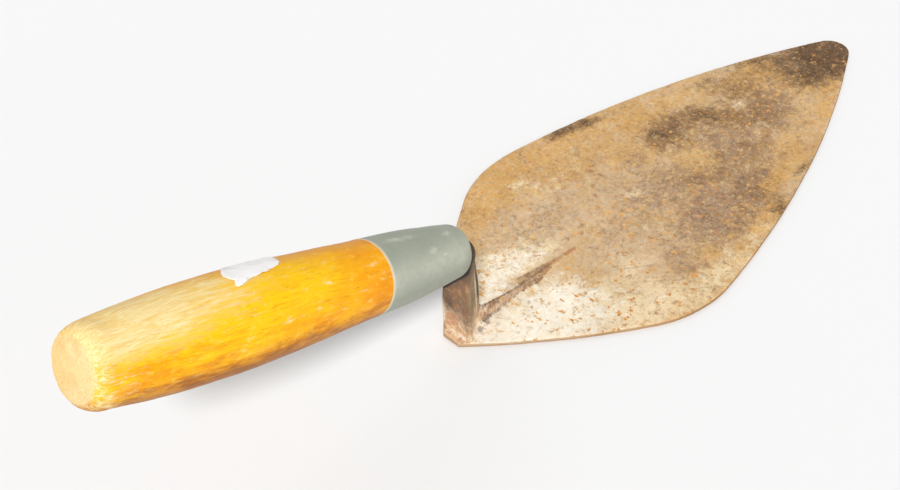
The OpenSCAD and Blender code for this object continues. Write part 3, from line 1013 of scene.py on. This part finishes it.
def blade_material():
    g = Graph("rusty_forged_steel")
    x, y, z = g.split(g.place)
    normal = g.node("ShaderNodeNewGeometry").outputs["Normal"]
    up = g.split(normal)[2]
    under = g.ramp(up, -0.1, -0.5)
    flat = g.join(x, y, 0.0)
    near = g.warp(4.0, 1.0, 0.52, place=flat, detail=3)

    fine = g.noise(2.2, 3, 0.75, shift=0.17)
    grain = g.noise(4.2, 4, 0.8, shift=0.21)
    mottle = g.noise(8, 5, 0.78, shift=0.37)
    cloud = g.noise(17, 4, 0.6, shift=0.41)

    colour = g.mix(TAN, GREY_TAN, g.ramp(mottle, 0.38, 0.62))
    colour = g.coat(colour, (OCHRE, 0.5, g.ramp(cloud, 0.44, 0.64)))
    for k, (tint, _) in enumerate(STAINS):
        texture = g.noise(5 + k % 3, 6, 0.86, shift=0.9 + 0.13 * k)
        colour = g.coat(colour, (tint, 0.92, g.broken(g.mark(f"stain_{k}"), texture)))

    # The underside is darker and more evenly stained
    below = g.mix(TAN, BROWN, g.ramp(cloud, 0.38, 0.6))
    below = g.coat(below,
        (MAUVE, g.specks(42, 2, 0.5, 0.61, 0.45, 0.6)),
        (OCHRE, 0.7, g.specks(12, 5, 0.7, 1.91, 0.52, 0.66)),
        (DARK, 0.8, g.specks(26, 5, 0.7, 0.91, 0.54, 0.68)),
    )
    colour = g.coat(colour, (below, under))

    # Fine mottling of brown, golden and pale grains
    # The worn patch near the heel is worn bright steel with a painted sheen: paler tints and fewer dark
    # grains there
    worn = g.mark("worn")
    calm = g.flip(g.times(0.9, worn))
    shady = g.most(g.mark("stain_4"), g.mark("stain_5"), g.mark("stain_8"))
    golden = g.specks(3.4, 4, 0.85, 0.81, 0.52, 0.66)
    pale = g.specks(2.4, 4, 0.85, 0.71, 0.52, 0.68)
    fine_tint = g.mix((190, 150, 104), (112, 82, 46), shady)
    colour = g.coat(colour,
        (fine_tint, 0.68, calm, g.ramp(fine, 0.48, 0.66)),
        (GOLD, 0.55, calm, golden, g.flip(g.times(0.6, g.mark("stain_8")))),
        ((236, 208, 150), 0.6, calm, pale, g.flip(g.times(0.7, g.mark("stain_8")))),
        ((244, 214, 160), 0.42, worn, g.ramp(mottle, 0.48, 0.64)),
        ((226, 200, 166), 0.4, worn, g.specks(2.4, 4, 0.8, 0.72, 0.52, 0.68)),
        (DARK, 0.7, shady, g.specks(1.9, 3, 0.75, 0.95, 0.56, 0.70)),
        ((164, 126, 90), 0.5, calm, g.ramp(grain, 0.53, 0.68)),
    )

    # Rust pits: thick on the worn, pale part with its painted sheen, thinner elsewhere
    zone = g.mark("pitted")
    pits = 0.0
    for size, shift, reach, share, away in ((5.0, 0.05, 0.20, 0.85, 0.25), (3.0, 0.65, 0.20, 0.42, 0.4)):
        place = g.warp(size * 0.4, size * 0.6, shift + 0.1, detail=4)
        dist, number = g.spots(size, place, shift)
        spot = g.ramp(g.add(dist, g.times(0.6 * reach, number)), reach * 1.6, reach * 0.6)
        chance = g.ramp(number, share, share - 0.05)
        spot = g.times(spot, chance, g.add(away, g.times(1 - away, zone)))
        pits = g.most(pits, spot)
    colour = g.coat(colour,
        ((232, 178, 100), 0.9, g.ramp(pits, 0.02, 0.4)),
        (RUST, 0.85, g.ramp(pits, 0.3, 0.9)),
    )
    rusty = g.times(g.most(shady, g.times(0.5, calm)), g.specks(2.6, 4, 0.8, 1.44, 0.57, 0.68))
    colour = g.coat(colour, ((168, 98, 48), 0.6, rusty))

    # Fine scratches
    marks = 0.0
    bent = g.warp(9, 1.2, 0.44, place=flat)
    for cx, cy, radius, px, py, half in SCRATCHES:
        away = g.vector("LENGTH", g.vector("SUBTRACT", bent, at_blade(cx, cy)))
        line = g.ramp(g.math("ABSOLUTE", g.math("SUBTRACT", away, radius * MM)), 0.55 * MM, 0.12 * MM)
        line = g.times(line, g.blob(flat, at_blade(px, py), (half * MM, half * MM, 1.0), 0, 0.6))
        marks = g.most(marks, line)
    colour = g.coat(colour, (MAUVE, 0.4, marks, g.flip(under)))
    stretched = g.vector("MULTIPLY", g.warp(30, 4, 0.33), (0.12, 1.0, 1.0))
    scratch = g.specks(0.55, 1, 0.5, 0.43, 0.68, 0.74, stretched)
    colour = g.coat(colour, (PALE, 0.3, scratch))

    # The rib: rust on its faces, a painted shadow along its crest, dirt along its foot
    rib_left, rib_right = g.mark("rib_left"), g.mark("rib_right")
    forward = g.ramp(x, HEEL_X + 36 * MM, HEEL_X + 46 * MM)
    face = g.most(g.ramp(rib_left, 0.0, 0.5), g.ramp(rib_right, 0.0, 0.4))
    face = g.broken(face, grain, 3.2, 0.25, 0.85)
    colour = g.coat(colour,
        (g.mix((200, 168, 138), (184, 144, 98), forward), 0.85, face),
        ((130, 98, 76), 0.85, face, g.ramp(grain, 0.46, 0.57)),
        ((150, 112, 80), 0.6, face, g.ramp(fine, 0.52, 0.64)),
        ((240, 218, 182), 0.6, face, pale),
        (GOLD, 0.6, face, golden),
        # Painted shadow beside the crest
        ((108, 80, 60), 0.62, g.broken(g.mark("rib_crest_shadow"), mottle, 3.0, 0.35, 0.95)),
    )
    foot_dirt = g.times(
        g.ramp(rib_right, 0.0, 0.08), g.ramp(rib_right, 0.42, 0.12),
        g.flip(forward), g.ramp(grain, 0.46, 0.6),
    )
    colour = g.coat(colour, ((104, 98, 96), 0.8, foot_dirt))
    point = g.blob(near, at_blade(71, -1.2), (4 * MM, 1.1 * MM, 1.0), -3, 0.6)
    colour = g.coat(colour, ((178, 112, 66), 0.6, g.broken(point, fine, 2.6, 0.3, 1.0)))

    # The neck is bare brown steel: rusty at the back, greyer on its sides, with a painted highlight along its
    # ridge and painted shade on its front face and under the ferrule
    neck, back, ridge = g.mark("neck"), g.mark("neck_back"), g.mark("neck_ridge_highlight")
    tall = g.times(z, 1 / MM)
    neck_colour = g.mix((146, 124, 92), (130, 94, 62), back)
    neck_colour = g.coat(neck_colour,
        ((110, 84, 62), 0.6, g.ramp(mottle, 0.46, 0.62)),
        ((180, 126, 82), 0.6, back, g.ramp(grain, 0.50, 0.64)),
        ((186, 158, 124), 0.5, g.specks(2.0, 4, 0.8, 1.2, 0.52, 0.68)),
    )
    shaken = g.warp(7, 3.0, 0.2)
    smudge = g.times(back, g.blob(shaken, at_blade(3, 4.5, 17), (0.05, 4 * MM, 5 * MM), 0, 0.9))
    # Darkening: a real dirt smudge on the back, plus painted shade under the ferrule's nose and on the
    # ridge's blunt front face
    smudge_and_painted_shade = g.most(
        g.times(0.7, smudge), g.times(0.8, g.ramp(tall, 30, 39)),
        g.times(0.9, g.mark("neck_front"), g.ramp(tall, 4, 13)),
    )
    neck_colour = g.coat(neck_colour,
        ((74, 52, 38), smudge_and_painted_shade),
        # Painted highlight along the front ridge
        ((236, 226, 204), 0.8, ridge, g.ramp(tall, 36, 26)),
    )
    foot_colour = g.mix((232, 204, 166), (202, 150, 110), g.ramp(grain, 0.44, 0.60))
    foot_colour = g.coat(foot_colour, ((172, 136, 112), 0.6, g.ramp(fine, 0.52, 0.66)))
    low = g.ramp(g.add(tall, g.sway(mottle, 16.0), g.sway(fine, 12.0)), 20.0, 3.0)
    neck_colour = g.coat(neck_colour, (foot_colour, low))
    # A painted highlight along the back-left corner of the neck, low down
    corner = g.times(back, g.ramp(y, 5.4 * MM, 6.8 * MM), g.ramp(tall, 22, 10))
    neck_colour = g.coat(neck_colour, ((226, 216, 186), 0.8, corner))
    # A painted contact shadow: a near-black band on the neck just below the ferrule's nose, tilted to follow
    # its edge
    forward_mm = g.math("MAXIMUM", g.times(1 / MM, g.math("SUBTRACT", x, HEEL_X + 5.0 * MM)), 0.0)
    painted_contact_shadow = g.add(tall, g.times(1.2 / MM, y), g.times(-1.5, forward_mm))
    neck_colour = g.coat(neck_colour, ((26, 20, 16), 0.94, g.ramp(painted_contact_shadow, 31.0, 32.2)))
    colour = g.coat(colour,
        (neck_colour, g.ramp(neck, 0.0, 0.6)),
        (foot_colour, 0.9, g.broken(g.mark("foot"), grain, 2.4, 0.2, 0.9)),
    )
    for dx, dy, long, wide in ((17.8, -3.6, 2.4, 1.2), (11.8, -5.0, 1.9, 1.1)):
        chip = g.blob(near, at_blade(dx, dy), (long * MM, wide * MM, 1.0), 35, 0.6)
        colour = g.coat(colour, ((122, 112, 100), 0.65, g.broken(chip, fine, 2.0, 0.2, 1.0)))

    # Bare rims: pale at the heel, orange on the shoulders, dark towards the tip
    side_on = g.times(g.ramp(g.math("ABSOLUTE", up), 0.97, 0.6), g.ramp(tall, 2.9, 2.4))
    rim = g.mix((170, 136, 100), (160, 118, 70), g.ramp(x, HEEL_X + 20 * MM, HEEL_X + 90 * MM))
    rim = g.coat(rim, ((132, 96, 60), g.ramp(x, HEEL_X + 120 * MM, HEEL_X + 180 * MM)))
    colour = g.coat(colour, (rim, 0.85, side_on, g.flip(neck)))

    rough = g.add(0.52, g.times(0.26, grain), g.times(-0.14, worn), g.times(0.1, under))
    uneven = g.add(g.times(0.7, grain), g.times(0.6, fine), g.times(0.8, mottle))
    height = g.add(g.times(uneven, g.flip(g.times(0.7, worn))), g.times(-0.9, pits))
    bumps = g.bump(height, 0.3, 0.8)
    metallic = g.times(0.3, g.ramp(cloud, 0.4, 0.62), g.flip(pits))
    g.finish(blade, colour, rough, bumps, metallic)


def handle_frame(g):
    """Distance along the handle, angle phi in degrees from the left side upwards, and radius."""
    x, y, z = g.split(g.place)
    phi = g.times(math.degrees(1), g.math("ARCTAN2", x, y))
    return g.times(1 / MM, z), phi, g.times(1 / MM, g.vector("LENGTH", g.join(x, y, 0.0)))


def round_blob(g, s, phi, at, direction, half_s, half_phi, soft=0.5):
    """A soft patch on the handle round a distance and a direction."""
    off = g.math("PINGPONG", g.math("ABSOLUTE", g.math("SUBTRACT", phi, direction)), 180.0)
    a = g.math("DIVIDE", g.math("SUBTRACT", s, at), half_s)
    b = g.math("DIVIDE", off, half_phi)
    return g.ramp(g.math("SQRT", g.add(g.times(a, a), g.times(b, b))), 1 + soft, 1 - soft)


def grip_material():
    g = Graph("worn_varnished_wood", HANDLE_PLACE)
    s, phi, radius = handle_frame(g)
    long = g.vector("MULTIPLY", g.warp(26, 1.2, 0.12), (1.0, 1.0, 0.07))
    streak = g.noise(0.75, 3, 0.7, place=long, shift=0.2)
    fine = g.noise(0.5, 3, 0.7, place=long, shift=0.4)
    cloud = g.noise(13, 3, 0.6, shift=0.5)
    patch = g.noise(4.5, 5, 0.75, place=g.vector("MULTIPLY", g.place, (1.0, 1.0, 0.28)), shift=0.7)
    s_w = g.add(s, g.sway(cloud, 34.0), g.sway(patch, 40.0), g.sway(streak, 34.0))
    phi_w = g.add(phi, g.sway(patch, 60.0))

    varnish = g.mix((255, 190, 8), (248, 160, 0), g.ramp(patch, 0.36, 0.62))
    varnish = g.coat(varnish,
        ((255, 206, 10), 0.85, round_blob(g, s_w, phi_w, 112, 122, 44, 46)),
        ((244, 154, 4), 0.5, g.ramp(s_w, 80, 50)),
        ((232, 142, 12), 0.45, g.ramp(streak, 0.50, 0.66)),
        ((214, 124, 14), 0.35, g.ramp(fine, 0.56, 0.72)),
        ((255, 218, 84), 0.45, g.specks(3.2, 4, 0.75, 1.7, 0.54, 0.70)),
    )

    bare = g.mix((246, 210, 130), (253, 232, 172), g.ramp(streak, 0.38, 0.62))
    bare = g.coat(bare, ((226, 178, 98), 0.6, g.ramp(fine, 0.52, 0.70)))

    # The varnish has gone from the butt, mostly on top, and in small rubbed places elsewhere
    top_off = round_blob(g, s_w, phi, 172, 92, 58, 52, 0.34)
    butt_off = g.ramp(s_w, 156, 172)
    rubbed = g.specks(2.4, 4, 0.7, 0.9, 0.60, 0.70, g.vector("MULTIPLY", g.place, (1, 1, 0.25)))
    rubbed = g.times(0.7, rubbed)
    gone = g.most(top_off, butt_off, rubbed, g.times(0.6, round_blob(g, s_w, phi, 120, 350, 40, 40)))
    colour = g.mix(varnish, bare, gone)

    # Darker brown underneath; dirt beside the ferrule, in the open grain, and in scratches
    below = g.times(round_blob(g, s, phi_w, 95, 253, 140, 60, 0.4), g.flip(g.times(0.85, butt_off)))
    colour = g.coat(colour,
        ((160, 90, 14), 0.9, below),
        ((122, 72, 28), 0.5, below, g.ramp(patch, 0.46, 0.64)),
    )
    near_ferrule = g.times(g.ramp(s_w, 62, 48), g.ramp(patch, 0.40, 0.62))
    colour = g.coat(colour, ((204, 122, 24), 0.4, near_ferrule))
    left_side = round_blob(g, s, phi_w, 100, 45, 120, 36, 0.5)
    colour = g.coat(colour, ((206, 134, 34), 0.4, left_side, g.flip(g.times(0.6, gone))))
    pores = g.specks(0.42, 2, 0.6, 1.1, 0.64, 0.74, long)
    colour = g.coat(colour, ((130, 72, 20), 0.3, pores, g.flip(g.times(0.7, gone))))

    # Short pale scratches across the grain, and rubbed lines along it
    turned = g.vector("MULTIPLY", g.warp(9, 3, 1.3), (0.35, 0.35, 1.6))
    cuts = g.times(g.specks(1.1, 2, 0.5, 1.4, 0.69, 0.75, turned), g.ramp(cloud, 0.45, 0.6))
    colour = g.coat(colour, ((255, 228, 150), 0.55, cuts))
    lines = g.specks(0.8, 3, 0.7, 1.8, 0.58, 0.68, long)
    colour = g.coat(
        colour, ((255, 240, 190), 0.45, lines, g.add(0.25, g.times(0.75, gone)), g.flip(butt_off)),
    )

    # A bare ring at the ferrule, and the end grain at the butt
    ring = g.ramp(s, FERRULE_L + 1.0, FERRULE_L + 0.6)
    colour = g.coat(colour, ((250, 232, 198), 0.9, ring))
    end = g.times(
        g.ramp(s, HANDLE_L - 2.2, HANDLE_L - 0.6), g.ramp(radius, BUTT_END_R + 1.6, BUTT_END_R - 0.4),
    )
    speck = g.noise(1.2, 4, 0.75, shift=1.6)
    end_colour = g.mix((244, 214, 158), (234, 196, 134), g.ramp(cloud, 0.4, 0.6))
    end_colour = g.coat(end_colour, ((204, 158, 96), 0.45, g.ramp(speck, 0.50, 0.66)))
    colour = g.coat(colour, (end_colour, 0.85, end))

    rough = g.add(g.times(0.3, g.most(gone, end)), 0.36, g.times(0.15, patch))
    height = g.add(
        g.times(0.6, streak), g.times(0.35, fine), g.times(-0.5, pores), g.times(-0.6, cuts),
        g.times(-0.25, gone),
    )
    g.shader.inputs["Specular IOR Level"].default_value = 0.16
    g.finish(grip, colour, rough, g.bump(height, 0.11, 0.8))


def ferrule_material():
    g = Graph("dull_painted_ferrule", HANDLE_PLACE)
    s, phi, _ = handle_frame(g)
    cloud = g.noise(12, 4, 0.6, shift=0.1)
    fine = g.noise(0.8, 3, 0.7, shift=0.2)
    grain = g.noise(3.0, 3, 0.6, shift=0.3)
    colour = g.mix((182, 185, 168), (193, 194, 176), g.ramp(cloud, 0.35, 0.65))
    # Painted shade: the ferrule is darker along its top, away from the lamp
    top = g.ramp(g.split(g.place)[0], 0.006, 0.013)
    colour = g.coat(colour,
        ((132, 142, 126), 0.55, top),
        ((166, 172, 156), 0.4, g.ramp(grain, 0.46, 0.68)),
    )
    # Painted shade on the ferrule's underside
    low = round_blob(g, s, phi, 24, 212, 60, 46, 0.5)
    colour = g.coat(colour,
        ((140, 146, 132), 0.75, low),
        ((204, 204, 190), 0.35, g.ramp(fine, 0.58, 0.72)),
    )
    for at, direction, half_s, half_phi in (
        (35, 92, 7, 5), (24, 128, 2.2, 5), (18, 140, 1.2, 2.5), (12, 102, 2.5, 4), (40, 300, 6, 8),
        (20, 220, 5, 8), (30, 20, 7, 6),
    ):
        scuff = round_blob(g, s, g.add(phi, g.sway(grain, 14.0)), at, direction, half_s, half_phi, 0.7)
        colour = g.coat(colour, ((224, 224, 208), 0.5, scuff, g.ramp(cloud, 0.3, 0.6)))
    rim = g.most(g.ramp(s, FERRULE_L - 0.7, FERRULE_L - 0.2), g.times(0.5, g.ramp(s, 1.2, 0.2)))
    colour = g.coat(colour, ((206, 204, 188), 0.6, rim))
    dirt = g.times(g.ramp(s, 9, 0), g.ramp(cloud, 0.36, 0.56))
    colour = g.coat(colour, ((118, 122, 106), 0.5, dirt))
    hair = g.specks(0.5, 1, 0.5, 0.6, 0.70, 0.76, g.vector("MULTIPLY", g.warp(10, 2, 0.5), (1, 1, 0.15)))
    colour = g.coat(colour, ((216, 214, 200), 0.3, hair))
    rough = g.add(0.42, g.times(0.2, grain), g.times(0.1, cloud))
    height = g.add(g.times(0.5, fine), g.times(0.3, grain), g.times(-0.4, hair))
    g.put(g.shader.inputs["Metallic"], 0.2)
    g.finish(ferrule, colour, rough, g.bump(height, 0.08, 0.7))


def label_material():
    g = Graph("torn_paper")
    fibre = g.noise(0.5, 3, 0.7, shift=0.1)
    cloud = g.noise(5, 3, 0.6, shift=0.2)
    colour = g.mix((255, 254, 252), (246, 243, 239), g.ramp(cloud, 0.42, 0.62))
    colour = g.coat(colour,
        ((222, 198, 172), 0.6, g.specks(4, 4, 0.7, 0.4, 0.56, 0.68)),
        ((238, 234, 232), 0.4, g.ramp(fibre, 0.5, 0.65)),
    )
    rough = g.add(0.78, g.times(0.12, fibre))
    g.finish(label, colour, rough, g.bump(g.add(g.times(0.5, fibre), cloud), 0.06, 0.6))


def bedding_material():
    g = Graph("aged_resin")
    grain = g.noise(1.6, 4, 0.65, shift=0.1)
    cloud = g.noise(8, 3, 0.6, shift=0.3)
    colour = g.mix((198, 172, 116), (164, 132, 78), g.ramp(cloud, 0.4, 0.6))
    colour = g.coat(colour, ((118, 88, 48), 0.5, g.ramp(grain, 0.56, 0.68)))
    g.finish(
        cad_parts["tang_bedding"], colour, g.add(0.35, g.times(0.2, grain)), g.bump(grain, 0.15, 0.7),
    )


def floor_material(floor):
    g = Graph("pale_floor")
    tone = g.noise(220, 2, 0.5, shift=0.1)
    colour = g.mix((239, 239, 239), (238, 238, 238), tone)
    g.finish(floor, colour, g.add(0.85, g.times(0.05, tone)), g.bump(tone, 0.05, 0.2))


blade_material()
grip_material()
ferrule_material()
label_material()
bedding_material()

# ---------------- floor, lights, camera

FLOOR_HALF = 4.0
floor_mesh = bpy.data.meshes.new("studio_floor")
corners = [(x * FLOOR_HALF, y * FLOOR_HALF, 0) for x, y in ((-1, -1), (1, -1), (1, 1), (-1, 1))]
floor_mesh.from_pydata(corners, [], [(0, 1, 2, 3)])
floor = bpy.data.objects.new("studio_floor", floor_mesh)
floor.location.z = -0.0001
bpy.context.scene.collection.objects.link(floor)
floor_material(floor)

scene = bpy.context.scene
scene.view_settings.view_transform = "Standard"
scene.view_settings.look = "None"


def soft_sun(name, azimuth, elevation, width, strength):
    """An even light from a direction, with soft-edged shadows. Angles in degrees."""
    a, e = math.radians(azimuth), math.radians(elevation)
    towards = Vector((math.cos(a) * math.cos(e), math.sin(a) * math.cos(e), math.sin(e)))
    lamp = bpy.data.lights.new(name, "SUN")
    lamp.angle, lamp.energy = math.radians(width), strength
    made = bpy.data.objects.new(name, lamp)
    made.location = towards * 2
    made.rotation_mode = "QUATERNION"
    made.rotation_quaternion = towards.to_track_quat("Z", "Y")
    scene.collection.objects.link(made)


soft_sun("key_light", 220, 47, 9, 2.55)
soft_sun("back_light", 60, 50, 50, 0.35)

# A studio tent: brighter low down, dimmer overhead
world = bpy.data.worlds.new("studio_world")
world.use_nodes = True
tree = world.node_tree
coordinate = tree.nodes.new("ShaderNodeTexCoord")
height = tree.nodes.new("ShaderNodeSeparateXYZ")
ramp = tree.nodes.new("ShaderNodeMapRange")
ramp.interpolation_type = "SMOOTHSTEP"
for name, value in (("From Min", 0.0), ("From Max", 0.7), ("To Min", 0.88), ("To Max", 0.34)):
    ramp.inputs[name].default_value = value
tree.links.new(coordinate.outputs["Generated"], height.inputs[0])
tree.links.new(height.outputs["Z"], ramp.inputs["Value"])
tree.links.new(ramp.outputs[0], tree.nodes["Background"].inputs["Strength"])
tree.nodes["Background"].inputs["Color"].default_value = (1, 1, 1, 1)
scene.world = world

CAMERA_AT = Vector((HEEL_X - 0.26745, -0.26411, 0.40949))
CAMERA_AZIMUTH, CAMERA_DOWN, CAMERA_ROLL = 44.63, 43.45, -0.65
camera = bpy.data.objects.new("camera", bpy.data.cameras.new("camera"))
camera.data.sensor_width = 36
camera.data.lens = 55.92
a, e, roll = (math.radians(v) for v in (CAMERA_AZIMUTH, CAMERA_DOWN, CAMERA_ROLL))
look = Vector((math.cos(a) * math.cos(e), math.sin(a) * math.cos(e), -math.sin(e)))
level = Vector((math.sin(a), -math.cos(a), 0))
rise = level.cross(look)
right = math.cos(roll) * level + math.sin(roll) * rise
over = math.cos(roll) * rise - math.sin(roll) * level
turn = Matrix((right, over, -look)).transposed().to_4x4()
turn.translation = CAMERA_AT
camera.matrix_world = turn
scene.collection.objects.link(camera)
scene.camera = camera
